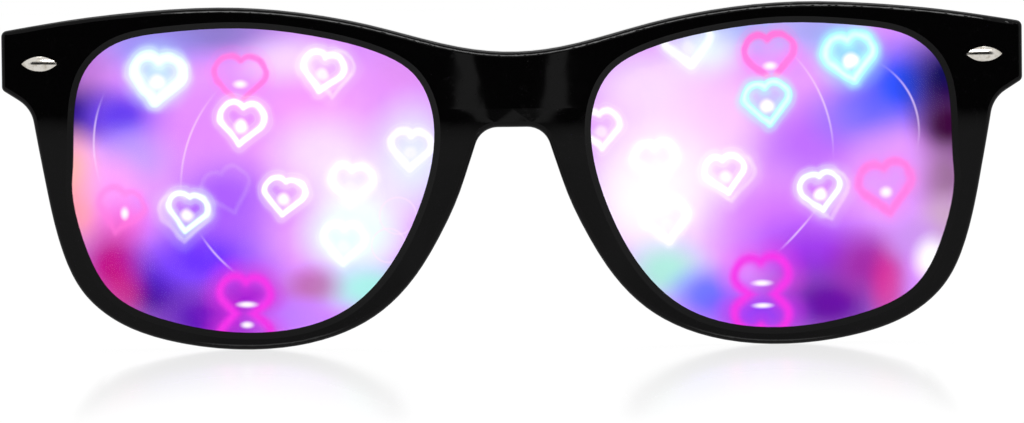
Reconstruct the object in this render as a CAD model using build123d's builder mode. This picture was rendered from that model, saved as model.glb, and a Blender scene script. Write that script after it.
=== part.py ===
"""A pair of diffraction glasses with a thick, square, glossy plastic front.

The glasses stand open on a table, on the bottoms of both rims and on both temple tips.
X runs across the face and +X is the wearer's left, Y runs back from the lenses to the
temple tips, and Z is up. The origin is on the table, under the middle of the whole pair.
Every piece of the left side is modelled, and the right side mirrors it.
All sizes are in millimetres.
"""

import os
from math import asin, atan2, cos, hypot, radians, sin, sqrt, tan

from build123d import *

# One running gap and one overrun serve the whole model
slip_gap = 0.04
cut_overrun = 2.0
outline_steps = 36

# Front: the plastic frame that holds both lenses
front_width = 145.0
front_height = 48.5
bow_depth = 10.743
brow_depth = 5.4
rim_depth = 4.3
brow_line_share = 0.6186
brow_turn_radius = 90.0
rim_slope = 5.0
bridge_top_share = 0.864
bridge_under_share = 0.6454
bridge_under_radius = 3.3
ear_top_share = 0.934
ear_height = 8.3
ear_corner_radius = 0.9
ear_fall = 9.7
neck_inset = 4.2
neck_drop = 2.6
neck_radius = 4.5
neck_lean = 9.7
nose_lean = 18.3
front_edge_radius = 0.8
back_edge_radius = 0.2

# Opening: the hole in the front that shows one lens, between the nose and the ear
nose_half_width = 11.0
ear_width = 9.7
opening_low_share = 0.0495
opening_high_share = 0.9402
opening_bevel = 0.9

# Lens and film: a clear carrier with the embossed film bonded to its back
lens_thickness = 1.8
film_thickness = 0.25
lens_recess_top = 1.7
lens_recess_bottom = 1.35
groove_depth = 0.9
lens_bevel = 0.6
film_margin = 0.6

# Lug: the thick block behind each ear that carries the hinge
seat_depth = 15.0
lug_root_depth = 12.0
lug_lap = 0.5
lug_drop = 0.4
lug_slope = 5.0

# Stud: the almond of bright metal on each ear, on two pressed pins
stud_inset = 5.6
stud_drop = 4.6
stud_length = 5.4
stud_height = 2.1
stud_dome = 0.6
stud_cross_radius = 1.4
stud_long_radius = 9.0
stud_sink = 0.3
stud_recess_gap = 0.2
stud_pin_radius = 0.45
stud_pin_length = 1.8
stud_pin_pitch = 2.4

# Hinge: two metal leaves with interleaved knuckles on one screw
hinge_drop = 4.2
knuckle_radius = 1.3
knuckle_count = 5
knuckle_pitch = 1.15
knuckle_gap = 0.07
leaf_thickness = 0.9
leaf_proud = 0.1
leaf_height = 6.2
leaf_corner_radius = 0.8
hinge_offset = 0.2
front_leaf_length = 3.9
temple_leaf_length = 9.5

# Hinge screw: a slotted head sunk in the top knuckle
screw_radius = 0.6
screw_head_radius = 1.0
screw_head_height = 0.55
screw_slot_width = 0.3
screw_slot_depth = 0.3

# Leaf screws: small countersunk screws that hold the leaves to the plastic
tapping_radius = 0.45
tapping_head_radius = 0.85
tapping_head_height = 0.45
tapping_length = 2.6
tapping_slot_width = 0.22
tapping_slot_depth = 0.2
front_tapping_inset = 1.3
front_tapping_pitch = 3.4
temple_tapping_start = 4.2
temple_tapping_pitch = 3.6

# Temple: the side arm, straight to the ear and then bent down behind it
temple_reach = 140.0
temple_root_height = 8.4
temple_bend_height = 7.2
temple_tip_radius = 4.7
temple_root_thickness = 3.9
temple_thickness = 3.2
temple_tip_thickness = 2.8
temple_root_length = 12.0
temple_taper_length = 30.0
temple_bend_reach = 95.0
temple_bend_drop = 2.0
temple_bend_radius = 38.0
temple_hug = 4.0
temple_hug_radius = 140.0
temple_inset = 0.3
butt_gap = 0.1
temple_edge_radius = 1.0

# Nose pad: the block glued behind the rim on each side of the nose
pad_length = 15.0
pad_width = 4.0
pad_depth = 5.6
pad_offset = 0.3
pad_share = 0.4062
pad_lean = 24.0
pad_splay = 1.5
pad_tip_length = 11.0
pad_tip_width = 2.6
pad_edge_radius = 0.8

# Outlines by eye: across in half openings from the opening's centre, up in front heights
top_edge_shares = [
    (-1.033, 0.892), (-0.652, 0.946), (-0.266, 0.984), (0.143, 1.0), (0.703, 0.985),
]
rim_edge_shares = [
    (1.142, 0.498), (1.055, 0.295), (0.943, 0.170), (0.745, 0.080), (0.451, 0.024), (0.031, 0.0),
    (-0.378, 0.028), (-0.680, 0.103), (-0.898, 0.221), (-1.038, 0.345), (-1.162, 0.499),
]
# Outline of the opening: both ways in half openings from its centre
opening_shares = [
    (0.990, 0.03), (0.974, 0.44), (0.908, 0.73), (0.768, 0.885), (0.47, 0.972), (0.0, 0.994),
    (-0.37, 0.938), (-0.70, 0.83), (-0.89, 0.69), (-0.985, 0.46), (-0.99, 0.16), (-0.90, -0.22),
    (-0.745, -0.57), (-0.52, -0.84), (0.0, -1.0), (0.46, -0.925), (0.772, -0.747), (0.930, -0.41),
]

# A face whose normal leans less than this towards Y counts as a wall
steep_share = 0.3

# Places worked out from the sizes above
half_width = front_width / 2
opening_width = half_width - nose_half_width - ear_width
opening_x = nose_half_width + opening_width / 2
opening_height = (opening_high_share - opening_low_share) * front_height
opening_z = opening_low_share * front_height + opening_height / 2
brow_line_height = brow_line_share * front_height
bridge_top_height = bridge_top_share * front_height
bridge_under_height = bridge_under_share * front_height
ear_top_height = ear_top_share * front_height
ear_under_height = ear_top_height - ear_height
neck_x = half_width - neck_inset
neck_height = ear_under_height - neck_drop
lug_inner_x = half_width - ear_width - lug_lap
lug_low_z = ear_under_height - lug_drop
stud_x = half_width - stud_inset
stud_z = ear_top_height - stud_drop
hinge_z = ear_top_height - hinge_drop
pad_x = nose_half_width + pad_offset
pad_z = pad_share * front_height
bow_radius = (half_width**2 + bow_depth**2) / (2 * bow_depth)
overall_depth = seat_depth + butt_gap + temple_reach
front_y = -overall_depth / 2
bow_axis = Axis((0, front_y + bow_radius, 0), (0, 0, 1))
seat_y = front_y + seat_depth
butt_y = seat_y + butt_gap
tip_y = butt_y + temple_reach - temple_tip_radius
bend_y = butt_y + temple_bend_reach
bend_z = hinge_z - temple_bend_drop
ear_turn = atan2(bend_z - temple_tip_radius, tip_y - bend_y)
temple_outer_x = half_width - temple_inset
temple_inner_x = temple_outer_x - temple_root_thickness
hinge_x = temple_inner_x - hinge_offset - knuckle_radius
hinge_y = seat_y + hinge_offset + knuckle_radius
knuckle_stack = knuckle_count * knuckle_pitch
knuckle_floor = hinge_z - knuckle_stack / 2
knuckle_ceiling = hinge_z + knuckle_stack / 2
front_leaf_y = seat_y + leaf_proud
temple_leaf_x = temple_inner_x - leaf_proud
stud_turn = asin(stud_x / bow_radius)
stud_face_y = front_y + bow_radius - sqrt(bow_radius**2 - stud_x**2)


def front_point(x_share, z_share):
    return (opening_x + x_share * opening_width / 2, z_share * front_height)


def opening_point(x_share, z_share):
    return (opening_x + x_share * opening_width / 2, opening_z + z_share * opening_height / 2)


def heading(turn):
    """A unit direction in a sketch, turned up from its x axis by an angle in degrees."""
    return (cos(radians(turn)), sin(radians(turn)))


def front_face_y(z):
    """The front surface of the frame at x = 0, away from the soft turn at the brow line."""
    return front_y + max(0, brow_line_height - z) * tan(radians(rim_slope))


def back_face_y(z):
    """The back surface of the frame at x = 0, a straight line from top to bottom."""
    top_y = front_y + brow_depth
    bottom_y = front_face_y(0) + rim_depth
    return top_y + (front_height - z) / front_height * (bottom_y - top_y)


def lens_face_y(z):
    """The front surface of the lenses at x = 0, a straight line from top to bottom."""
    top, bottom = opening_z + opening_height / 2, opening_z - opening_height / 2
    top_y = front_face_y(top) + lens_recess_top
    bottom_y = front_face_y(bottom) + lens_recess_bottom
    return top_y + (top - z) / opening_height * (bottom_y - top_y)


def corners_at(sketch, x, z):
    """The two corners of a sketch at x and -x."""
    return sketch.vertices().filter_by(
        lambda corner: abs(abs(corner.X) - x) < slip_gap and abs(corner.Y - z) < slip_gap
    )


def opening_sketch(grow):
    """The outline of the left opening, grown outward, on the vertical plane through the origin."""
    points = [opening_point(x, z) for x, z in opening_shares]
    if grow:
        edge = Spline(points, periodic=True)
        stations = [step / outline_steps for step in range(outline_steps)]
        points = [edge @ at - (edge % at).rotate(Axis.Z, 90) * grow for at in stations]
    with BuildSketch(Plane.XZ) as outline:
        with BuildLine():
            Spline(points, periodic=True)
        make_face()
    return outline.sketch


def bowed_sheet(front_gap, thickness, grow):
    """A bowed, slightly slanted sheet with the outline of the opening, for lens and film."""
    low, high = -cut_overrun, front_height + cut_overrun
    with BuildPart() as sheet:
        with BuildSketch(Plane.YZ):
            with BuildLine():
                Polyline(
                    (lens_face_y(low) + front_gap, low),
                    (lens_face_y(high) + front_gap, high),
                    (lens_face_y(high) + front_gap + thickness, high),
                    (lens_face_y(low) + front_gap + thickness, low),
                    close=True,
                )
            make_face()
        revolve(axis=bow_axis)
        extrude(opening_sketch(grow), amount=overall_depth, both=True, mode=Mode.INTERSECT)
    return sheet.part


def almond(grow):
    """The pointed oval outline of a stud, grown outward, on the plane of the left stud."""
    end, crown = stud_length / 2 + grow, stud_height / 2 + grow
    with BuildSketch(stud_plane) as outline:
        with BuildLine():
            ThreePointArc((-end, 0), (0, crown), (end, 0))
            ThreePointArc((end, 0), (0, -crown), (-end, 0))
        make_face()
    return outline.sketch


def screw_space(head_plane, gap):
    """A countersunk screw without its slot, its head flush with a plane, grown by a gap."""
    head, shank, end = tapping_head_radius + gap, tapping_radius + gap, tapping_length + gap
    side_plane = Plane(head_plane.origin, x_dir=head_plane.x_dir, z_dir=-head_plane.y_dir)
    with BuildPart() as screw:
        with BuildSketch(side_plane):
            with BuildLine():
                Polyline(
                    (0, 0),
                    (head, 0),
                    (shank, -tapping_head_height),
                    (shank, shank - end),
                    (0, -end),
                    close=True,
                )
            make_face()
        revolve(axis=Axis(head_plane.origin, head_plane.z_dir))
    return screw.part


def hinge_bore(gap):
    """The hinge screw without its slot, grown sideways by a gap: plain shank, head at the top."""
    head_seat = knuckle_ceiling - knuckle_gap / 2 - screw_head_height
    with BuildPart() as bore:
        with BuildSketch(Plane.XY.offset(knuckle_floor + knuckle_gap / 2)):
            with Locations((hinge_x, hinge_y)):
                Circle(screw_radius + gap)
        extrude(amount=head_seat - knuckle_floor)
        with BuildSketch(Plane.XY.offset(head_seat)):
            with Locations((hinge_x, hinge_y)):
                Circle(screw_head_radius + gap)
        extrude(amount=screw_head_height)
    return bore.part


def knuckles(slots, web_x, web_y):
    """The knuckles in some slots of the stack, each with a web that reaches to its leaf."""
    with BuildPart() as row:
        for slot in slots:
            with BuildSketch(Plane.XY.offset(knuckle_floor + slot * knuckle_pitch + knuckle_gap / 2)):
                with Locations((hinge_x, hinge_y)):
                    Circle(knuckle_radius)
                with BuildLine():
                    Polyline(
                        (hinge_x, hinge_y),
                        (web_x, hinge_y),
                        (web_x, web_y),
                        (hinge_x, web_y),
                        close=True,
                    )
                make_face()
            extrude(amount=knuckle_pitch - knuckle_gap)
    return row.part


def front_leaf_plate(gap):
    """The front leaf's plate, grown by a gap at its sides."""
    with BuildPart() as leaf_plate:
        with BuildSketch(Plane.XZ.offset(-front_leaf_y)) as plate:
            with Locations((hinge_x + gap, hinge_z)):
                width, height = front_leaf_length + 2 * gap, leaf_height + 2 * gap
                Rectangle(width, height, align=(Align.MAX, Align.CENTER))
            fillet(plate.vertices().group_by(Axis.X)[0], leaf_corner_radius)
        extrude(amount=leaf_thickness)
    return leaf_plate.part


def temple_leaf_plate(gap):
    """The temple leaf's plate, grown by a gap at its sides."""
    with BuildPart() as leaf_plate:
        with BuildSketch(Plane.YZ.offset(temple_leaf_x)) as plate:
            with Locations((butt_y - gap, hinge_z)):
                width, height = temple_leaf_length + 2 * gap, leaf_height + 2 * gap
                Rectangle(width, height, align=(Align.MIN, Align.CENTER))
            fillet(plate.vertices().group_by(Axis.X)[-1], leaf_corner_radius)
        extrude(amount=leaf_thickness)
    return leaf_plate.part


def tip_touch(y, z, side):
    """Where a straight line from a point touches the round temple tip, above it or below it."""
    reach = hypot(tip_y - y, temple_tip_radius - z)
    turn = atan2(temple_tip_radius - z, tip_y - y) + side * asin(temple_tip_radius / reach)
    run = sqrt(reach**2 - temple_tip_radius**2)
    return (y + run * cos(turn), z + run * sin(turn))


def save(part, name):
    part.label = name
    export_step(part, f"parts/{name}.step")


def save_pair(left_part, name):
    save(left_part, f"left_{name}")
    save(mirror(left_part, about=Plane.YZ), f"right_{name}")


os.makedirs("parts", exist_ok=True)

# Lens: a clear plastic carrier, its edge cut to a V that snaps into the groove of the front
with BuildPart() as lens:
    add(bowed_sheet(0, lens_thickness, groove_depth))
    chamfer(lens.faces().sort_by(SortBy.AREA)[0].edges(), lens_bevel)
save_pair(lens.part, "lens")

# Film: the embossed diffraction film, bonded to the back of the lens
with BuildPart() as film:
    add(bowed_sheet(lens_thickness, film_thickness, groove_depth - film_margin))
save_pair(film.part, "diffraction_film")

# Outline of the front: brow and bridge top, ear, neck, rim and nose, and the bridge underside
ear_top = (half_width, ear_top_height)
ear_under = (half_width, ear_under_height)
neck = (neck_x, neck_height)
with BuildSketch(Plane.XZ) as front_outline:
    with BuildLine():
        top_points = [front_point(x, z) for x, z in top_edge_shares]
        top_ends = [(1, 0), heading(-ear_fall)]
        Spline([(0, bridge_top_height), *top_points, ear_top], tangents=top_ends)
        Line(ear_top, ear_under)
        Line(ear_under, neck)
        rim_points = [front_point(x, z) for x, z in rim_edge_shares]
        rim_ends = [heading(-90 - neck_lean), heading(90 + nose_lean)]
        rim = Spline([neck, *rim_points], tangents=rim_ends)
        rise = bridge_under_height - (rim @ 1).Y
        nose_corner = ((rim @ 1).X - rise * tan(radians(nose_lean)), bridge_under_height)
        Line(rim @ 1, nose_corner)
        Line(nose_corner, (0, bridge_under_height))
        mirror(about=Plane.YZ)
    make_face()
    fillet(corners_at(front_outline, *ear_top), ear_corner_radius)
    fillet(corners_at(front_outline, *ear_under), ear_corner_radius)
    fillet(corners_at(front_outline, *neck), neck_radius)
    fillet(corners_at(front_outline, *nose_corner), bridge_under_radius)

# Slab that the front is cut from: bowed about a far axis, upright at the brow, sloping below
with BuildPart() as slab:
    with BuildSketch(Plane.YZ) as section:
        with BuildLine():
            low, high = -cut_overrun, front_height + cut_overrun
            Polyline(
                (front_face_y(low), low),
                (front_y, brow_line_height),
                (front_y, high),
                (back_face_y(high), high),
                (back_face_y(low), low),
                close=True,
            )
        make_face()
        brow_turn = section.vertices().sort_by_distance((front_y, brow_line_height))[0]
        fillet(brow_turn, brow_turn_radius)
    revolve(axis=bow_axis)

# Stud: pointed oval, domed both ways, its base sunk in the brow and two pins pressed in
stud_plane = Plane(
    (stud_x, stud_face_y, stud_z),
    x_dir=(cos(stud_turn), sin(stud_turn), 0),
    z_dir=(sin(stud_turn), -cos(stud_turn), 0),
)
dome_axis_plane = stud_plane.offset(stud_dome - stud_cross_radius)
dome_side_plane = Plane(dome_axis_plane.origin, x_dir=stud_plane.x_dir, z_dir=-stud_plane.y_dir)
with BuildPart() as stud_pins:
    with BuildSketch(stud_plane.offset(-stud_sink)):
        with GridLocations(stud_pin_pitch, 0, 2, 1):
            Circle(stud_pin_radius)
    extrude(amount=-stud_pin_length)
with BuildPart() as stud_recess:
    extrude(almond(stud_recess_gap), amount=-stud_sink)
    add(stud_pins.part)
with BuildPart() as stud:
    extrude(almond(0), amount=stud_dome)
    extrude(almond(0), amount=-stud_sink)
    with BuildSketch(dome_side_plane):
        with BuildLine():
            end = stud_length / 2 + stud_recess_gap
            end_radius = stud_cross_radius - stud_long_radius + sqrt(stud_long_radius**2 - end**2)
            ThreePointArc((-end, end_radius), (0, stud_cross_radius), (end, end_radius))
            Polyline((end, end_radius), (end, 0), (-end, 0), (-end, end_radius))
        make_face()
    revolve(axis=Axis(dome_axis_plane.origin, stud_plane.x_dir), mode=Mode.INTERSECT)
    add(stud_pins.part)
save_pair(stud.part, "front_stud")

# Leaf screws: their places, then one for each place
front_tapping_x = hinge_x - front_leaf_length + front_tapping_inset
screw_places = {}
for name, rise in [("upper", front_tapping_pitch / 2), ("lower", -front_tapping_pitch / 2)]:
    origin = (front_tapping_x, front_leaf_y, hinge_z + rise)
    screw_places[f"front_leaf_{name}_screw"] = Plane(origin, x_dir=(-1, 0, 0), z_dir=(0, 1, 0))
for name, reach in [("fore", 0), ("rear", temple_tapping_pitch)]:
    origin = (temple_leaf_x, butt_y + temple_tapping_start + reach, hinge_z)
    screw_places[f"temple_leaf_{name}_screw"] = Plane(origin, x_dir=(0, 1, 0), z_dir=(-1, 0, 0))
for name, head_plane in screw_places.items():
    with BuildPart() as tapping_screw:
        add(screw_space(head_plane, 0))
        with BuildSketch(head_plane):
            Rectangle(tapping_head_radius + tapping_head_radius, tapping_slot_width)
        extrude(amount=-tapping_slot_depth, mode=Mode.SUBTRACT)
    save_pair(tapping_screw.part, name)

# Hinge screw: the pivot of the temple, its slotted head let into the top knuckle
with BuildPart() as hinge_screw:
    add(hinge_bore(0))
    with BuildSketch(Plane.XY.offset(knuckle_ceiling - knuckle_gap / 2)):
        with Locations((hinge_x, hinge_y)):
            Rectangle(2 * screw_head_radius, screw_slot_width)
    extrude(amount=-screw_slot_depth, mode=Mode.SUBTRACT)
save_pair(hinge_screw.part, "hinge_screw")

# Front leaf: a plate let into the seat, with the outer and middle knuckles
front_slots = range(0, knuckle_count, 2)
with BuildPart() as front_leaf:
    add(front_leaf_plate(0))
    add(knuckles(front_slots, hinge_x - knuckle_radius, front_leaf_y))
    add(hinge_bore(slip_gap), mode=Mode.SUBTRACT)
    for name in ("front_leaf_upper_screw", "front_leaf_lower_screw"):
        add(screw_space(screw_places[name], slip_gap), mode=Mode.SUBTRACT)
save_pair(front_leaf.part, "front_hinge_leaf")

# Temple leaf: a longer plate let into the temple, with the knuckles in between
temple_slots = range(1, knuckle_count, 2)
with BuildPart() as temple_leaf:
    add(temple_leaf_plate(0))
    add(knuckles(temple_slots, temple_leaf_x, hinge_y + knuckle_radius))
    add(hinge_bore(slip_gap), mode=Mode.SUBTRACT)
    for name in ("temple_leaf_fore_screw", "temple_leaf_rear_screw"):
        add(screw_space(screw_places[name], slip_gap), mode=Mode.SUBTRACT)
save_pair(temple_leaf.part, "temple_hinge_leaf")

# Nose pad: a lofted block, splayed away from the nose, shaped to the back of the rim
with BuildPart() as nose_pad:
    with BuildSketch(Plane.XZ.offset(-front_y - rim_depth)):
        with Locations((pad_x, pad_z)):
            SlotOverall(pad_length, pad_width, rotation=90 + pad_lean)
    with BuildSketch(Plane.XZ.offset(-front_y - brow_depth - pad_depth)):
        with Locations((pad_x + pad_splay, pad_z)):
            SlotOverall(pad_tip_length, pad_tip_width, rotation=90 + pad_lean)
    loft()
    fillet(nose_pad.faces().sort_by(Axis.Y)[-1].edges(), pad_edge_radius)
    add(slab.part, mode=Mode.SUBTRACT)
save_pair(nose_pad.part, "nose_pad")

# Temple: the side profile and the plan profile crossed, then all its long edges rounded
with BuildPart() as temple:
    with BuildSketch(Plane.YZ) as side_profile:
        with BuildLine():
            corner_shift = temple_bend_height / 2 * tan(ear_turn / 2)
            top_corner = (bend_y + corner_shift, bend_z + temple_bend_height / 2)
            low_corner = (bend_y - corner_shift, bend_z - temple_bend_height / 2)
            rear_end = (tip_y + temple_tip_radius, temple_tip_radius)
            ThreePointArc(tip_touch(*top_corner, 1), rear_end, tip_touch(*low_corner, -1))
            Polyline(
                tip_touch(*low_corner, -1),
                low_corner,
                (butt_y, hinge_z - temple_root_height / 2),
                (butt_y, hinge_z + temple_root_height / 2),
                top_corner,
                tip_touch(*top_corner, 1),
            )
        make_face()
        for corner in (top_corner, low_corner):
            fillet(side_profile.vertices().sort_by_distance(corner)[0], temple_bend_radius)
    extrude(amount=front_width)
    with BuildSketch(Plane.XY) as plan_profile:
        with BuildLine():
            rear_y = tip_y + temple_tip_radius + cut_overrun
            thin_x = temple_outer_x - temple_thickness
            turns = [
                (thin_x, bend_y),
                (thin_x, butt_y + temple_root_length + temple_taper_length),
                (temple_inner_x, butt_y + temple_root_length),
                (temple_outer_x, bend_y),
            ]
            Polyline(
                (temple_outer_x - temple_hug - temple_tip_thickness, rear_y),
                *turns[:3],
                (temple_inner_x, butt_y),
                (temple_outer_x, butt_y),
                turns[3],
                (temple_outer_x - temple_hug, rear_y),
                close=True,
            )
        make_face()
        for turn in turns:
            fillet(plan_profile.vertices().sort_by_distance(turn)[0], temple_hug_radius)
    extrude(amount=front_height, mode=Mode.INTERSECT)
    flanks = temple.faces().filter_by(lambda face: abs(face.normal_at().X) > steep_share)
    rims = temple.faces().filter_by(lambda face: abs(face.normal_at().X) < steep_share)
    butt_edges = temple.faces().sort_by(Axis.Y)[0].edges()
    fillet((flanks.edges() & rims.edges()) - butt_edges, temple_edge_radius)
    add(temple_leaf_plate(slip_gap), mode=Mode.SUBTRACT)
    for name in ("temple_leaf_fore_screw", "temple_leaf_rear_screw"):
        add(screw_space(screw_places[name], slip_gap), mode=Mode.SUBTRACT)
save_pair(temple.part, "temple")

# Front: the slab with a lug behind each ear, cut to the outline and opened for both lenses
with BuildPart() as front_frame:
    add(slab.part)
    with BuildSketch(Plane.XY.offset(lug_low_z)):
        with BuildLine():
            lug_draft = (seat_depth - lug_root_depth) * tan(radians(lug_slope))
            Polyline(
                (lug_inner_x - lug_draft, front_y + lug_root_depth),
                (lug_inner_x, seat_y),
                (half_width, seat_y),
                (half_width, front_y + lug_root_depth),
                close=True,
            )
        make_face()
        mirror(about=Plane.YZ)
    extrude(amount=front_height - lug_low_z)
    split(bisect_by=Plane.XZ.offset(-seat_y), keep=Keep.TOP)
    extrude(front_outline.sketch, amount=overall_depth, both=True, mode=Mode.INTERSECT)

    # Its outer edges are noted here and rounded when the openings are cut
    walls = front_frame.faces().filter_by(lambda face: abs(face.normal_at().Y) < steep_share)
    fronts = front_frame.faces().filter_by(lambda face: face.normal_at().Y < -steep_share)
    backs = front_frame.faces().filter_by(lambda face: face.normal_at().Y > steep_share)
    front_edges = walls.edges() & fronts.edges()
    back_edges = walls.edges() & backs.edges()
    back_edges -= back_edges.filter_by_position(Axis.Z, lug_low_z, lug_low_z)

    # A groove for each lens and its film, the opening, and the bevel round it
    groove_width = lens_thickness + film_thickness + 2 * slip_gap
    groove = bowed_sheet(-slip_gap, groove_width, groove_depth + slip_gap)
    for side_groove in (groove, mirror(groove, about=Plane.YZ)):
        add(side_groove, mode=Mode.SUBTRACT)

    for side_opening in (opening_sketch(0), mirror(opening_sketch(0), about=Plane.YZ)):
        extrude(side_opening, amount=overall_depth, both=True, mode=Mode.SUBTRACT)
        new_faces = front_frame.faces(Select.LAST)
        wall = new_faces.filter_by(GeomType.EXTRUSION).sort_by(Axis.Y)[0]
        fronts = new_faces.filter_by(lambda face: face.normal_at().Y < -steep_share)
        chamfer(wall.edges() & fronts.edges(), opening_bevel)
    fillet(back_edges, back_edge_radius)
    fillet(front_edges, front_edge_radius)

    # Recesses for the stud and the hinge leaf, with the holes for pins and screws
    fittings = [front_leaf_plate(slip_gap), stud_recess.part]
    for name in ("front_leaf_upper_screw", "front_leaf_lower_screw"):
        fittings.append(screw_space(screw_places[name], slip_gap))
    for fitting in fittings:
        add(fitting, mode=Mode.SUBTRACT)
        add(mirror(fitting, about=Plane.YZ), mode=Mode.SUBTRACT)
save(front_frame.part, "front_frame")
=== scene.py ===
import math

import bpy
from mathutils import Matrix, Vector

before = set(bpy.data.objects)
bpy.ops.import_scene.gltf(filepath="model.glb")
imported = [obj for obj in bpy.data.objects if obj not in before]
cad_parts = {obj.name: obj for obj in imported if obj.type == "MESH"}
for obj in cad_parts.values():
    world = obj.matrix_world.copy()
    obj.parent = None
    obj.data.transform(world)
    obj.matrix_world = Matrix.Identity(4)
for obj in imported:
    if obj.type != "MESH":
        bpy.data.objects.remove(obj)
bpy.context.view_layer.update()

# Front: one black plastic moulding, polished in its mould to a deep gloss. Held to the light it
# shows a slight waviness, hair-fine wiping streaks, dull smears and a little dust.
BLACK = (0.0016, 0.0015, 0.0016, 1)
BLACK_WORN = (0.009, 0.0085, 0.009, 1)
BLACK_ROUGHNESS = 0.035
WAVE_GRAIN, WAVE_DEPTH = 9.0, 0.03
DUST_GRAIN, STREAK_GRAIN, SMEAR_GRAIN = 0.35, 1.6, 6.5
STREAK_PULL = (0.5, 3.2, 0.9)


class Shade:
    """One output of a shader node. Arithmetic on it adds the nodes that work it out."""

    def __init__(self, output):
        self.output = output
        self.tree = output.id_data

    def node(self, kind, inputs, give=0, **settings):
        """Adds a node: its settings first, then the values or links of its sockets."""
        made = self.tree.nodes.new("ShaderNode" + kind)
        for name, value in settings.items():
            setattr(made, name, value)
        for key, value in inputs.items():
            if isinstance(value, Shade):
                self.tree.links.new(value.output, made.inputs[key])
            else:
                made.inputs[key].default_value = value
        return Shade(made.outputs[give])

    def math(self, operation, *sides):
        """A sum on plain values, or on vectors if any side is one."""
        if not any(isinstance(side, tuple) or isinstance(side, Shade) and side.many for side in sides):
            return self.node("Math", dict(enumerate(sides)), operation=operation)
        sides = [(side,) * 3 if isinstance(side, (int, float)) else side for side in sides]
        return self.node("VectorMath", dict(enumerate(sides)), operation=operation)

    @property
    def many(self):
        """Whether it carries three values and not one."""
        return self.output.type in ("VECTOR", "RGBA")

    def __add__(self, other):
        return self.math("ADD", self, other)

    __radd__ = __add__

    def __sub__(self, other):
        return self.math("SUBTRACT", self, other)

    def __rsub__(self, other):
        return self.math("SUBTRACT", other, self)

    def __mul__(self, other):
        return self.math("MULTIPLY", self, other)

    __rmul__ = __mul__

    def __truediv__(self, other):
        return self.math("DIVIDE", self, other)

    def __rtruediv__(self, other):
        return self.math("DIVIDE", other, self)

    def __abs__(self):
        return self.math("ABSOLUTE", self)

    def floor(self, low):
        """The value, or low where it is less."""
        return self.math("MAXIMUM", self, low)

    def ceiling(self, high):
        """The value, or high where it is more."""
        return self.math("MINIMUM", self, high)

    def length(self):
        return self.node("VectorMath", {0: self}, give=1, operation="LENGTH")

    def part(self, axis):
        """One value of three: 0 across, 1 back, 2 up."""
        return self.node("SeparateXYZ", {0: self}, give=axis)

    def step(self, start, end):
        """Rises smoothly from 0 to 1 as the value goes from start to end."""
        return self.node("MapRange", {0: self, 1: start, 2: end}, interpolation_type="SMOOTHSTEP")

    def noise(self, grain, detail=2.0, roughness=0.5):
        """Even noise about 0.5, with grains of a size in millimetres."""
        wanted = {"Vector": self, "Scale": 1 / grain, "Detail": detail, "Roughness": roughness}
        return self.node("TexNoise", wanted)

    def over(self, base, top, way="MIX"):
        """The colour base with the colour top laid over it, as much as this value says."""
        ends = {6: base, 7: top, 0: self}
        return self.node("Mix", ends, give=2, data_type="RGBA", blend_type=way)


def finish_of(name):
    """A new material, its shader, and places on the surface in millimetres."""
    material = bpy.data.materials.new(name)
    material.use_nodes = True
    shader = material.node_tree.nodes["Principled BSDF"]
    spot = material.node_tree.nodes.new("ShaderNodeTexCoord")
    return material, shader, Shade(spot.outputs["Object"]) * 1000.0


def feed(shader, **wanted):
    """Sets or links sockets of a shader, named with _ for each space."""
    for name, value in wanted.items():
        socket = shader.inputs[name.replace("_", " ")]
        if isinstance(value, Shade):
            value.tree.links.new(value.output, socket)
        else:
            socket.default_value = value


def relief(height, depth):
    """A surface normal from a height map, whose full range is depth millimetres."""
    return height.node("Bump", {"Height": height, "Distance": depth / 1000, "Strength": 1.0})


def wear(node, material):
    """Gives a carried-over CAD node its finish."""
    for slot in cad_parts[node].material_slots:
        slot.material = material


def black_plastic(name):
    """Gloss black plastic. Its low index keeps the rims black where they lean over a white table."""
    material, shader, place = finish_of(name)
    wave = place.noise(WAVE_GRAIN, 1.0)
    dust = place.noise(DUST_GRAIN, 1.0).step(0.70, 0.80)
    streaks = (place * STREAK_PULL).noise(STREAK_GRAIN, 3.0, 0.7).step(0.58, 0.74)
    smears = place.noise(SMEAR_GRAIN, 2.0).step(0.46, 0.70)
    feed(
        shader,
        Base_Color=(dust * 0.25 + streaks * 0.2).over(BLACK, BLACK_WORN),
        Roughness=BLACK_ROUGHNESS + streaks * 0.03 + smears * 0.025 + dust * 0.1,
        Normal=relief(wave * 0.8 + streaks * 0.01, WAVE_DEPTH),
        IOR=1.30,
        Specular_IOR_Level=0.24,
    )
    return material


wear("front_frame", black_plastic("front gloss black plastic"))

# Lenses: a clear acrylic carrier in each opening, polished on both faces, sprung into the
# groove. Handling leaves faint smudges that only the gloss shows. A low index lets the film
# behind show straight through.
SMUDGE_GRAIN = 5.0
lens_clear, shader, place = finish_of("clear acrylic lens")
smudge = place.noise(SMUDGE_GRAIN, 3.0, 0.6).step(0.5, 0.75)
feed(
    shader,
    Base_Color=(1, 1, 1, 1),
    Transmission_Weight=1.0,
    IOR=1.12,
    Roughness=smudge * 0.03,
)
for side in ("left", "right"):
    wear(f"{side}_lens", lens_clear)

# Films: an embossed diffraction film behind each lens. A real one spreads every small light into a
# glowing heart. Here that light is painted: the film glows by itself as emission, soft coloured
# light with heart outlines hanging in it.
# Places and sizes here are in millimetres, and colours are as a screen shows them.
ICE, WHITE, ROSE = (0.78, 0.96, 1.00), (1.00, 0.98, 1.00), (0.97, 0.46, 0.84)
CYAN, MINT, MAGENTA = (0.66, 0.95, 1.00), (0.86, 1.00, 0.96), (0.90, 0.20, 0.86)
FILM_BASE = {"right": (0.82, 0.50, 0.97), "left": (0.82, 0.52, 0.96)}
FILM_CLOUD, CLOUD_GRAIN = (0.88, 0.62, 0.99), 6.0
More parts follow.
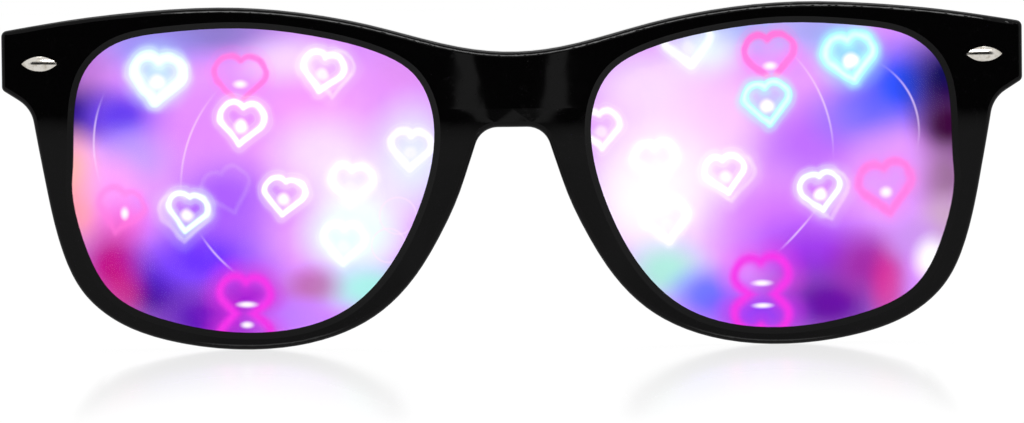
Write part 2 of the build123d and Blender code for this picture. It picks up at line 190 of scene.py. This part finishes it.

# Each patch of the film's painted light, bright or dark: across, up, how far it reaches across
# and up, its colour and its strength
FILM_HAZE = {
    "right": [
        (-35.0, 31.0, 11.0, 8.0, (0.88, 0.55, 0.99), 0.6),
        (-43.0, 45.0, 12.0, 3.8, (0.50, 0.46, 0.76), 0.9),
        (-52.0, 43.0, 8.0, 4.0, (0.56, 0.56, 0.94), 0.8),
        (-61.0, 39.0, 5.5, 4.5, (0.70, 0.44, 0.80), 0.8),
        (-62.5, 33.5, 6.5, 4.5, (0.18, 0.10, 0.38), 1.0),
        (-55.5, 33.0, 6.5, 4.5, (0.38, 0.24, 0.88), 1.0),
        (-53.5, 28.0, 6.0, 4.0, (0.68, 0.58, 0.99), 0.7),
        (-63.0, 25.0, 4.5, 6.0, (1.00, 0.70, 0.64), 0.9),
        (-62.0, 19.0, 4.0, 5.0, (0.98, 0.60, 0.62), 0.8),
        (-57.0, 23.5, 4.5, 4.5, (1.00, 0.62, 0.92), 0.6),
        (-55.5, 17.5, 4.5, 4.0, (0.96, 0.36, 0.78), 0.7),
        (-57.0, 12.0, 5.5, 5.5, (0.70, 0.08, 0.52), 1.0),
        (-51.0, 8.5, 6.0, 5.5, (0.26, 0.10, 0.48), 1.0),
        (-55.6, 8.5, 3.4, 5.0, (0.82, 0.10, 0.46), 0.6),
        (-44.0, 13.0, 9.5, 6.5, (0.40, 0.20, 0.98), 1.0),
        (-41.0, 21.0, 8.0, 6.5, (0.60, 0.32, 0.98), 0.9),
        (-46.0, 31.0, 6.0, 6.0, (0.82, 0.46, 1.00), 0.5),
        (-44.0, 4.5, 8.5, 5.0, (0.34, 0.08, 0.68), 1.0),
        (-37.5, 6.0, 7.0, 6.5, (0.56, 0.12, 0.76), 1.0),
        (-31.0, 41.0, 7.0, 3.6, (0.95, 0.85, 1.00), 0.7),
        (-28.5, 34.5, 8.0, 4.5, (0.94, 0.60, 0.97), 0.6),
        (-26.5, 27.5, 8.0, 6.0, (0.94, 0.86, 0.99), 0.8),
        (-16.8, 38.0, 6.0, 4.5, (0.86, 0.55, 0.92), 0.8),
        (-14.0, 27.0, 6.0, 8.0, (0.86, 0.93, 1.00), 0.8),
        (-22.0, 19.0, 7.0, 8.0, (0.93, 0.95, 0.99), 0.9),
        (-23.0, 15.5, 7.0, 5.0, (0.86, 0.98, 0.97), 0.7),
        (-20.5, 8.5, 7.0, 3.6, (0.58, 0.93, 0.85), 0.85),
        (-28.5, 9.0, 4.0, 3.0, (0.66, 0.34, 0.56), 0.75),
        (-31.0, 4.5, 7.0, 2.8, (0.70, 0.46, 0.98), 0.75),
        (-50.2, 38.9, 4.3, 4.3, (0.74, 0.89, 1.00), 0.85),
    ],
    "left": [
        (23.0, 29.0, 11.0, 9.0, (0.95, 0.86, 1.00), 0.9),
        (33.0, 45.0, 12.0, 3.5, (0.60, 0.70, 0.95), 0.8),
        (27.0, 41.5, 5.5, 4.0, (0.88, 0.96, 0.99), 0.8),
        (19.0, 37.0, 9.0, 5.5, (0.93, 0.82, 0.99), 0.85),
        (19.0, 20.5, 10.0, 9.0, (0.97, 0.95, 0.99), 0.95),
        (30.5, 33.0, 8.0, 6.0, (0.94, 0.74, 0.99), 0.7),
        (44.0, 44.0, 5.0, 3.5, (0.60, 0.64, 0.92), 0.8),
        (42.5, 28.5, 8.5, 6.5, (0.68, 0.38, 0.97), 0.9),
        (49.0, 32.5, 6.5, 5.0, (0.48, 0.42, 0.96), 0.9),
        (55.0, 36.5, 7.5, 6.5, (0.20, 0.32, 0.97), 1.0),
        (61.8, 37.0, 6.5, 7.5, (0.10, 0.09, 0.34), 1.0),
        (61.8, 30.5, 5.0, 5.5, (0.24, 0.07, 0.24), 1.0),
        (61.0, 23.0, 4.5, 5.0, (0.55, 0.40, 0.52), 0.9),
        (61.5, 16.5, 4.5, 4.5, (0.76, 0.64, 0.72), 0.85),
        (53.0, 24.0, 6.5, 6.0, (0.84, 0.56, 0.93), 0.8),
        (38.5, 17.5, 9.0, 5.5, (0.76, 0.40, 0.98), 0.85),
        (42.5, 12.5, 10.0, 5.5, (0.58, 0.22, 0.86), 1.0),
        (44.5, 5.5, 11.0, 6.0, (0.38, 0.05, 0.60), 1.0),
        (50.5, 11.0, 5.5, 5.0, (0.58, 0.12, 0.58), 0.9),
        (53.0, 8.0, 2.6, 5.5, (0.86, 0.14, 0.50), 0.6),
        (57.0, 14.5, 4.5, 3.5, (0.74, 0.54, 0.88), 0.8),
        (21.5, 10.5, 6.0, 4.5, (0.60, 0.90, 0.80), 0.85),
        (27.5, 7.0, 5.5, 4.0, (0.38, 0.42, 0.98), 0.95),
        (34.0, 4.0, 7.0, 4.0, (0.44, 0.20, 0.90), 0.9),
        (59.5, 11.5, 2.6, 3.2, (1.00, 1.00, 1.00), 0.95),
        (47.7, 40.8, 4.5, 4.5, (0.52, 0.84, 1.00), 0.85),
        (36.0, 34.6, 3.4, 3.4, (0.66, 0.76, 1.00), 0.60),
    ],
}

# Each heart of painted light: across, up, width, lean, colour, then how strong its line, haze and
# middle are, and how soft its line is
FILM_HEARTS = {
    "right": [
        (-38.5, 38.3, 7.8, -4, ROSE, 0.7, 0.2, 0.0, 1.0),
        (-50.2, 38.5, 7.5, -6, ICE, 1.0, 0.8, 0.8, 1.4),
        (-38.3, 32.1, 6.8, -8, WHITE, 1.0, 0.32, 1.0, 1.0),
        (-26.7, 39.3, 6.3, -12, WHITE, 0.95, 0.40, 0.7, 1.1),
        (-25.6, 39.0, 7.4, 4, WHITE, 0.18, 0.1, 0.0, 0.8),
        (-32.4, 21.7, 6.1, -8, WHITE, 1.0, 0.38, 0.9, 1.0),
        (-46.2, 19.5, 6.2, -8, ICE, 1.0, 0.45, 0.9, 1.0),
        (-46.6, 18.8, 7.9, -2, WHITE, 0.14, 0.1, 0.0, 0.8),
        (-22.8, 23.4, 6.3, -5, WHITE, 0.6, 0.25, 0.2, 1.7),
        (-14.4, 28.2, 6.2, -5, WHITE, 0.75, 0.2, 0.4, 1.4),
        (-24.0, 15.0, 6.4, -4, MINT, 0.65, 0.25, 0.3, 1.6),
        (-55.8, 19.8, 7.0, -14, ROSE, 0.3, 0.1, 0.0, 1.6),
        (-40.5, 22.5, 7.4, 20, WHITE, 0.04, 0.0, 0.0, 0.9),
    ],
    "left": [
        (36.4, 40.7, 7.6, 6, ROSE, 0.8, 0.35, 0.0, 1.2),
        (24.9, 42.7, 6.9, 8, MINT, 0.7, 0.25, 0.4, 1.5),
        (36.0, 34.2, 6.7, 8, CYAN, 0.95, 0.50, 0.9, 1.4),
        (47.9, 40.5, 7.3, 8, CYAN, 1.0, 0.85, 1.0, 1.7),
        (12.4, 30.8, 6.1, 5, WHITE, 0.75, 0.2, 0.5, 1.3),
        (20.2, 26.0, 6.5, 5, WHITE, 0.6, 0.25, 0.2, 1.8),
        (30.0, 24.2, 6.1, 9, WHITE, 1.0, 0.38, 0.8, 1.1),
        (30.6, 23.6, 7.6, 2, WHITE, 0.14, 0.1, 0.0, 0.8),
        (43.5, 21.5, 6.1, 8, ICE, 1.0, 0.45, 1.0, 1.0),
        (44.2, 20.9, 7.7, 14, WHITE, 0.14, 0.1, 0.0, 0.8),
        (52.9, 21.9, 8.2, 8, ROSE, 0.6, 0.25, 0.0, 1.5),
        (21.6, 17.6, 6.4, 8, WHITE, 0.6, 0.25, 0.3, 1.9),
    ],
}

# Hearts of these colours hide the haze behind them and have a line with a core of their own.
# The others only brighten the haze, and their line has a white core.
CORES = {ROSE: ROSE, CYAN: (0.90, 1.00, 1.00)}

# A magenta heart with its painted reflection below a level line: across, up, width, lean, and the
# height of the line
POOL_NEAR, POOL_NEAR_SHARE, POOL_FAR, POOL_FAR_SHARE = 0.20, 0.6, 0.6, 0.35
FILM_POOLS = {"right": (-38.2, 7.0, 7.7, -4, 5.0), "left": (35.1, 8.8, 8.3, 4, 7.0)}

# Each painted glint of white light: across, up, and how far it reaches across and up
GLINT_SHARE = 0.85
FILM_GLINTS = {
    "right": [
        (-38.4, 37.6, 1.0, 0.6),
        (-55.2, 19.3, 0.6, 0.9),
        (-37.9, 6.3, 1.4, 0.45),
        (-37.9, 3.4, 0.9, 0.5),
    ],
    "left": [
        (36.5, 39.4, 1.0, 0.6),
        (52.9, 21.2, 0.9, 0.8),
        (35.1, 8.6, 1.4, 0.45),
        (35.2, 5.4, 1.4, 0.4),
    ],
}

# Each painted thread of light: a circle's centre and radius, then the middle and reach of what shows
THREAD_COLOUR, THREAD_HALF_WIDTH, THREAD_SHARE = (0.97, 0.86, 1.00), 0.26, 0.5
FILM_THREADS = {
    "right": [
        (-26.5, 22.8, 20.6, -45.6, 29.5, 6.5),
        (-26.6, 27.3, 20.9, -42.0, 13.5, 3.0),
        (-42.1, 29.1, 17.4, -59.4, 30.0, 5.0),
        (-16.3, 18.8, 2.6, -16.3, 18.8, 4.0),
        (-17.7, 14.6, 2.4, -17.7, 14.6, 4.0),
    ],
    "left": [
        (24.8, 26.8, 20.6, 42.6, 34.0, 6.5),
        (46.5, 29.8, 11.2, 56.5, 34.0, 5.5),
        (7.9, 45.9, 44.2, 40.2, 15.8, 3.2),
    ],
}

# The plain heart, in measures of its own: its width, how much it is drawn out upward, the bulge
# of its sides and how high its place is over its point, then its lobes and the middle of its glow
HEART_WIDTH, HEART_STRETCH, HEART_BULGE, HEART_RISE = 1.38, 1.08, 0.3, 0.57
LOBE_CENTRE, LOBE_RADIUS, HEART_MIDDLE = (0.25, 0.75, 0), 0.3536, (0.0, 0.48, 0)
NOTCH = (0, 1, 0)

# How far a heart's light reaches from its outline, and its middle's glow from its middle
HAZE_REACH, LINE_FROM, LINE_REACH, CORE_REACH, CORE_SHARE = 0.36, 0.02, 0.12, 0.08, 0.8
ECHO_AT, ECHO_REACH, ECHO_SHARE = 0.21, 0.03, 0.08
MIDDLE_FROM, MIDDLE_REACH = 0.08, 0.27

# Every line flickers and wavers a little, and the film glows with its painted light as emission
FLICKER_GRAIN, FLICKER_LEAST, FLICKER_RANGE = 1.1, 0.55, 0.8
STIR_GRAIN, STIR_REACH = 2.6, (0.7, 0.0, 0.6)
SCREEN_POWER, FILM_GLOW, FILM_PAINT = 2.2, 1.04, 0.1
PATCH_EDGE, PATCH_FLAT = 1.45, 0.15
EMBOSS_GRAIN, EMBOSS_DEPTH = 0.12, 0.004


def seen(colour):
    """A colour as it looks on a screen, in the shader's terms."""
    return (*(value**SCREEN_POWER for value in colour), 1)


def patch(place, x, z, reach_x, reach_z):
    """A soft round patch of light, 1 in its middle."""
    spread = (place - (x, 0, z)) * (1 / reach_x, 0, 1 / reach_z)
    return spread.length().step(PATCH_EDGE, PATCH_FLAT)


def heart(place, x, z, width, lean):
    """Distance from the outline of a heart in its own widths, and from its middle."""
    away = {"Vector": place - (x, 0, z), "Angle": math.radians(lean)}
    turned = place.node("VectorRotate", away, rotation_type="Y_AXIS")
    size = width / HEART_WIDTH
    up = turned.part(2) / (size * HEART_STRETCH) + HEART_RISE
    across = abs(turned.part(0)) / size * (1 - (up * (1 - up)).floor(0) * HEART_BULGE)
    here = across.node("CombineXYZ", {0: across, 1: up})
    lobe = abs((here - LOBE_CENTRE).length() - LOBE_RADIUS)
    half = (across + up).floor(0) * 0.5
    point = (here - half.node("CombineXYZ", {0: half, 1: half})).length()
    sides = point.ceiling((here - NOTCH).length())
    high = (across + up).step(0.98, 1.02)
    return lobe * high + sides * (1 - high), (here - HEART_MIDDLE).length()


def film_haze(side, place):
    """The film's painted soft light, with painted threads of light and a heart's painted reflection
    over it.
    """
    colour = place.noise(CLOUD_GRAIN, 2.0).over(seen(FILM_BASE[side]), seen(FILM_CLOUD))
    for x, z, reach_x, reach_z, tint, strength in FILM_HAZE[side]:
        colour = (patch(place, x, z, reach_x, reach_z) * strength).over(colour, seen(tint))
    for x, z, radius, near_x, near_z, reach in FILM_THREADS[side]:
        off = abs(((place - (x, 0, z)) * (1, 0, 1)).length() - radius)
        thread = off.step(THREAD_HALF_WIDTH, 0.0) * patch(place, near_x, near_z, reach, reach)
        colour = (thread * THREAD_SHARE).over(colour, seen(THREAD_COLOUR))
    # The heart and its painted reflection, folded about the level line
    x, z, width, lean, pool = FILM_POOLS[side]
    mirrored = place.node("CombineXYZ", {0: place.part(0), 2: abs(place.part(2) - pool) + pool})
    edge, _ = heart(mirrored, x, z, width, lean)
    glow = edge.step(POOL_NEAR, 0.0) * POOL_NEAR_SHARE + edge.step(POOL_FAR, 0.0) * POOL_FAR_SHARE
    return glow.ceiling(1.0).over(colour, seen(MAGENTA))


def film_finish(side):
    """A film whose colours, hearts and glints are painted light that glows as emission."""
    material, shader, place = finish_of(f"{side} diffraction film")
    colour = film_haze(side, place)
    flicker = place.noise(FLICKER_GRAIN, 2.0, 0.6)
    stirred = place + (place.noise(STIR_GRAIN, 1.0) - 0.5) * STIR_REACH
    for x, z, width, lean, tint, line, haze, core, soft in FILM_HEARTS[side]:
        edge, middle = heart(stirred, x, z, width, lean)
        line = (flicker * FLICKER_RANGE + FLICKER_LEAST).ceiling(1.0) * line
        echo = abs(edge - ECHO_AT).step(ECHO_REACH, 0.0) * ECHO_SHARE
        glow = edge.step(HAZE_REACH, 0.0) * haze + edge.step(LINE_REACH * soft, LINE_FROM) * line
        glow = (glow + echo * line).ceiling(1.0)
        colour = glow.over(colour, seen(tint), "MIX" if tint in CORES else "SCREEN")
        thin = edge.step(CORE_REACH * soft, 0.0) * line * CORE_SHARE
        colour = thin.over(colour, seen(CORES.get(tint, WHITE)))
        bright = middle.step(MIDDLE_REACH, MIDDLE_FROM) * core
        colour = bright.over(colour, seen(WHITE))
    # Painted glints: small white patches of light laid over the colour
    for x, z, reach_x, reach_z in FILM_GLINTS[side]:
        glint = patch(place, x, z, reach_x, reach_z) * GLINT_SHARE
        colour = glint.over(colour, seen(WHITE))
    emboss = place.noise(EMBOSS_GRAIN, 1.0)
    # The film's whole colour is painted light. It glows as emission, and a tenth of it is paint that
    # the lamps light.
    feed(
        shader,
        Base_Color=colour * FILM_PAINT,
        Emission_Color=colour,
        Emission_Strength=FILM_GLOW,
        Roughness=0.22 + emboss * 0.12,
        Normal=relief(emboss, EMBOSS_DEPTH),
        IOR=1.45,
        Specular_IOR_Level=0.02,
    )
    return material


for side in ("left", "right"):
    wear(f"{side}_diffraction_film", film_finish(side))

# Studs: a pressed and nickel-plated pointed oval on each ear, domed both ways and held by pins
# pushed into the plastic. The plating is bright, with faint draw lines and a little tarnish.
NICKEL, NICKEL_TARNISHED = (0.66, 0.63, 0.58, 1), (0.42, 0.38, 0.32, 1)
DRAWN_GRAIN, DRAWN_PULL, DRAWN_DEPTH = 0.5, (0.25, 1.0, 3.0), 0.006
TARNISH_GRAIN = 0.9
stud_metal, shader, place = finish_of("bright nickel plating")
drawn = (place * DRAWN_PULL).noise(DRAWN_GRAIN, 2.0)
tarnish = place.noise(TARNISH_GRAIN, 2.0).step(0.45, 0.8)
feed(
    shader,
    Base_Color=tarnish.over(NICKEL, NICKEL_TARNISHED),
    Metallic=1.0,
    Roughness=0.10 + drawn * 0.08 + tarnish * 0.08,
    Normal=relief(drawn, DRAWN_DEPTH),
)
for side in ("left", "right"):
    wear(f"{side}_front_stud", stud_metal)

# Nose pads: a small block of the same black plastic on each side of the nose, moulded apart and
# glued to the back of the rim. The skin has dulled its gloss.
PAD_GRAIN, PAD_GRAIN_DEPTH, SKIN_GRAIN = 0.22, 0.006, 2.4
pad_plastic, shader, place = finish_of("nose pad satin black plastic")
grain = place.noise(PAD_GRAIN, 2.0)
dulled = place.noise(SKIN_GRAIN, 2.0).step(0.4, 0.7)
feed(
    shader,
    Base_Color=(grain * 0.5).over(BLACK, BLACK_WORN),
    Roughness=0.20 + grain * 0.1 + dulled * 0.12,
    Normal=relief(grain, PAD_GRAIN_DEPTH),
)
for side in ("left", "right"):
    wear(f"{side}_nose_pad", pad_plastic)

# Hinges: stamped steel leaves with rolled knuckles, let into the plastic, and the screws that
# hold them. The leaves are nickel-washed and dull, with a brushed grain and a few oil stains.
STEEL, STEEL_STAINED = (0.60, 0.59, 0.56, 1), (0.38, 0.35, 0.31, 1)
BRUSHED_GRAIN, BRUSHED_PULL, BRUSHED_DEPTH = 0.35, (1.0, 0.2, 4.0), 0.012
STAIN_GRAIN = 1.4
hinge_metal, shader, place = finish_of("hinge washed steel")
brushed = (place * BRUSHED_PULL).noise(BRUSHED_GRAIN, 3.0, 0.6)
stain = place.noise(STAIN_GRAIN, 2.0).step(0.45, 0.75)
feed(
    shader,
    Base_Color=stain.over(STEEL, STEEL_STAINED),
    Metallic=1.0,
    Roughness=0.24 + brushed * 0.16 + stain * 0.1,
    Normal=relief(brushed, BRUSHED_DEPTH),
)
SCREW_BRIGHT, SCREW_DARK = (0.70, 0.69, 0.67, 1), (0.50, 0.47, 0.43, 1)
TURNED_GRAIN, TURNED_DEPTH = 0.15, 0.005
screw_metal, shader, place = finish_of("screw bright steel")
turned = place.noise(TURNED_GRAIN, 2.0)
feed(
    shader,
    Base_Color=turned.over(SCREW_BRIGHT, SCREW_DARK),
    Metallic=1.0,
    Roughness=0.18 + turned * 0.2,
    Normal=relief(turned, TURNED_DEPTH),
)
LEAVES = ("front_hinge_leaf", "temple_hinge_leaf")
SCREWS = ("front_leaf_upper", "front_leaf_lower", "hinge", "temple_leaf_fore", "temple_leaf_rear")
for side in ("left", "right"):
    for leaf in LEAVES:
        wear(f"{side}_{leaf}", hinge_metal)
    for screw in SCREWS:
        wear(f"{side}_{screw}_screw", screw_metal)

# Temples: black arms moulded in the same gloss plastic as the front, thinner towards the tip,
# each turning on its hinge.
temple_plastic = black_plastic("temple gloss black plastic")
for side in ("left", "right"):
    wear(f"{side}_temple", temple_plastic)

# Floor: a white table top that runs back into the white of the studio. It keeps the soft shadow
# of the pair, is polished where the rims' mirrored image falls, and thins out to its fore edge.
TABLE_SIDE, TABLE_FORE, TABLE_REAR = 2.5, -0.66, 3.0
TABLE_CLEAR_UNTIL, TABLE_SOLID_FROM = -0.62, -0.24
TABLE_WHITE, TABLE_GLOW, TABLE_GLOW_SHARE = (0.9, 0.9, 0.9, 1), 1.03, 0.95
MIRROR_SHARE, MIRROR_ROUGHNESS = 0.20, 0.10

# The mirrored image of each rim on the table, in metres: how far its middle is across, where the
# rim's foot stands, how much it bends away at its sides, and between which places it comes and goes
IMAGE_MIDDLE, IMAGE_FOOT, IMAGE_BEND = 0.036, -0.085, 150
IMAGE_INNER, IMAGE_OUTER, IMAGE_END = (0.011, 0.016), (0.0565, 0.053), (-0.24, -0.20)
IMAGE_RISE, IMAGE_FADE = (-0.035, -0.012), (0.105, -0.01)


def flat_sheet(name, corners, faces):
    """A thin sheet for the stage, made from its corners and faces and put in the scene."""
    mesh = bpy.data.meshes.new(name)
    mesh.from_pydata(corners, [], faces)
    made = bpy.data.objects.new(name, mesh)
    bpy.context.scene.collection.objects.link(made)
    return made


def seen_directly(tree):
    """1 for rays from the camera, from gloss and through glass, which all show the background."""
    path = tree.nodes.new("ShaderNodeLightPath")
    camera, gloss, glass = (
        Shade(path.outputs[f"Is {name} Ray"]) for name in ("Camera", "Glossy", "Transmission")
    )
    return camera.floor(gloss).floor(glass)


table = flat_sheet(
    "table_top",
    [
        (-TABLE_SIDE, TABLE_FORE, 0),
        (TABLE_SIDE, TABLE_FORE, 0),
        (TABLE_SIDE, TABLE_REAR, 0),
        (-TABLE_SIDE, TABLE_REAR, 0),
    ],
    [(0, 1, 2, 3)],
)
table_white = bpy.data.materials.new("white table top")
table_white.use_nodes = True
tree = table_white.node_tree
tree.nodes.clear()
shown = seen_directly(tree)
spot = Shade(tree.nodes.new("ShaderNodeTexCoord").outputs["Object"])
back, across = spot.part(1), abs(spot.part(0))
beside = across - IMAGE_MIDDLE
ahead = IMAGE_FOOT - back - beside * beside * IMAGE_BEND
image = ahead.step(*IMAGE_FADE) * ahead.step(*IMAGE_RISE) * back.step(*IMAGE_END)
image = image * across.step(*IMAGE_OUTER) * across.step(*IMAGE_INNER)
paint = shown.node("BsdfDiffuse", {"Color": TABLE_WHITE})
glow = shown.node("Emission", {"Color": (1, 1, 1, 1), "Strength": TABLE_GLOW})
mirror = shown.node("BsdfGlossy", {"Color": (1, 1, 1, 1), "Roughness": MIRROR_ROUGHNESS})
lit = shown.node("MixShader", {0: shown * TABLE_GLOW_SHARE, 1: paint, 2: glow})
polished = shown.node("MixShader", {0: image * MIRROR_SHARE, 1: lit, 2: mirror})
clear = shown.node("BsdfTransparent", {})
solid = back.step(TABLE_CLEAR_UNTIL, TABLE_SOLID_FROM)
ended = shown.node("MixShader", {0: solid, 1: clear, 2: polished})
output = tree.nodes.new("ShaderNodeOutputMaterial")
tree.links.new(ended.output, output.inputs["Surface"])
table.data.materials.append(table_white)

# Dark side of the studio: a black cloth curved round the camera's side, seen only in gloss and
# through glass. Two pale cards are painted on it as glow, joined at their feet. Seen in gloss, they
# show as a sheen on the bridge.
CLOTH_RADIUS, CLOTH_FOOT, CLOTH_TOP = 0.7, -0.4, 0.32
CLOTH_HALF_TURN, CLOTH_FLATS = 50, 10
CARD_INNER, CARD_OUTER, CARD_LEAN = 27.0, 40.5, 0.5
CARD_FOOT, CARD_JOINED_TO, CARD_EDGE = -12.0, 4.5, 2.0
RAGGED_GRAIN, RAGGED_REACH = 6.0, 14
CARD_GLOW = 1.2
cloth_turn = 2 * CLOTH_HALF_TURN / CLOTH_FLATS
cloth_turns = [math.radians(cloth_turn * step - CLOTH_HALF_TURN) for step in range(CLOTH_FLATS + 1)]
cloth_corners = [
    (CLOTH_RADIUS * math.sin(turn), -CLOTH_RADIUS * math.cos(turn), height)
    for height in (CLOTH_FOOT, CLOTH_TOP)
    for turn in cloth_turns
]
above = CLOTH_FLATS + 1
cloth = flat_sheet(
    "black_cloth",
    cloth_corners,
    [(step, step + 1, above + step + 1, above + step) for step in range(CLOTH_FLATS)],
)
cloth_black, shader, place = finish_of("black studio cloth")
up = place.part(2)
across = abs(place.part(0)) - up * CARD_LEAN
ragged = across + place.noise(RAGGED_GRAIN, 2.0) * RAGGED_REACH
inner = ragged.step(CARD_INNER, CARD_INNER + CARD_EDGE)
joined = up.step(CARD_JOINED_TO, CARD_JOINED_TO - CARD_EDGE)
outer = across.step(CARD_OUTER, CARD_OUTER - CARD_EDGE)
cards = outer * inner.floor(joined) * up.step(CARD_FOOT, CARD_FOOT + 2 * CARD_EDGE)
# The cards are painted light on the cloth: glow given as emission, not a lamp.
feed(
    shader,
    Base_Color=(0.01, 0.01, 0.01, 1),
    Roughness=1.0,
    Specular_IOR_Level=0.0,
    Emission_Color=cards.over((0, 0, 0, 1), (1, 1, 1, 1)),
    Emission_Strength=CARD_GLOW,
)
cloth.data.materials.append(cloth_black)
cloth.visible_camera = cloth.visible_diffuse = cloth.visible_shadow = False

# Light: an even white surround, a wide softbox above, and a long strip high in front of the pair,
# whose light shows only in gloss.
SURROUND_LIGHT, SURROUND_SEEN = 0.55, 1.0
world = bpy.data.worlds.new("white studio")
bpy.context.scene.world = world
world.use_nodes = True
tree = world.node_tree
tree.nodes.clear()
shown = seen_directly(tree)
surround = shown.node("Background", {"Color": (1, 1, 1, 1), "Strength": SURROUND_LIGHT})
white = shown.node("Background", {"Color": (1, 1, 1, 1), "Strength": SURROUND_SEEN})
both = shown.node("MixShader", {0: shown, 1: surround, 2: white})
output = tree.nodes.new("ShaderNodeOutputWorld")
tree.links.new(both.output, output.inputs["Surface"])


def softbox(name, spot, aim, width, depth, watts):
    """A rectangular lamp at a spot, facing its aim."""
    lamp = bpy.data.lights.new(name, "AREA")
    lamp.shape = "RECTANGLE"
    lamp.size, lamp.size_y, lamp.energy = width, depth, watts
    made = bpy.data.objects.new(name, lamp)
    bpy.context.scene.collection.objects.link(made)
    made.location = spot
    made.rotation_euler = (Vector(aim) - Vector(spot)).to_track_quat("-Z", "Y").to_euler()
    return made


strip = softbox(
    "high_strip", spot=(0.12, -0.85, 0.80), aim=(0, -0.07, 0.03), width=1.4, depth=0.25, watts=20.0
)
strip.visible_diffuse = False
softbox("wide_top", spot=(0, 0.35, 1.3), aim=(0, 0, 0), width=1.2, depth=0.8, watts=8.0)

# Camera: a long lens a metre in front, a little above the table, its frame level with the
# photograph's slight roll.
LOOK_AT, LOOK_DISTANCE = (-0.0002, -0.0775, 0.01945), 1.0
LOOK_RISE, LOOK_ROLL, LOOK_LENS = math.radians(2.5), math.radians(-0.62), 250.0
outward = Vector((0, -math.cos(LOOK_RISE), math.sin(LOOK_RISE)))
camera = bpy.data.objects.new("camera", bpy.data.cameras.new("camera"))
bpy.context.scene.collection.objects.link(camera)
camera.data.lens = LOOK_LENS
camera.matrix_world = (
    Matrix.Translation(Vector(LOOK_AT) + outward * LOOK_DISTANCE)
    @ (-outward).to_track_quat("-Z", "Y").to_matrix().to_4x4()
    @ Matrix.Rotation(LOOK_ROLL, 4, "Z")
)
camera.data.clip_start, camera.data.clip_end = 0.01, 50
bpy.context.scene.camera = camera
bpy.context.scene.view_settings.view_transform = "Standard"
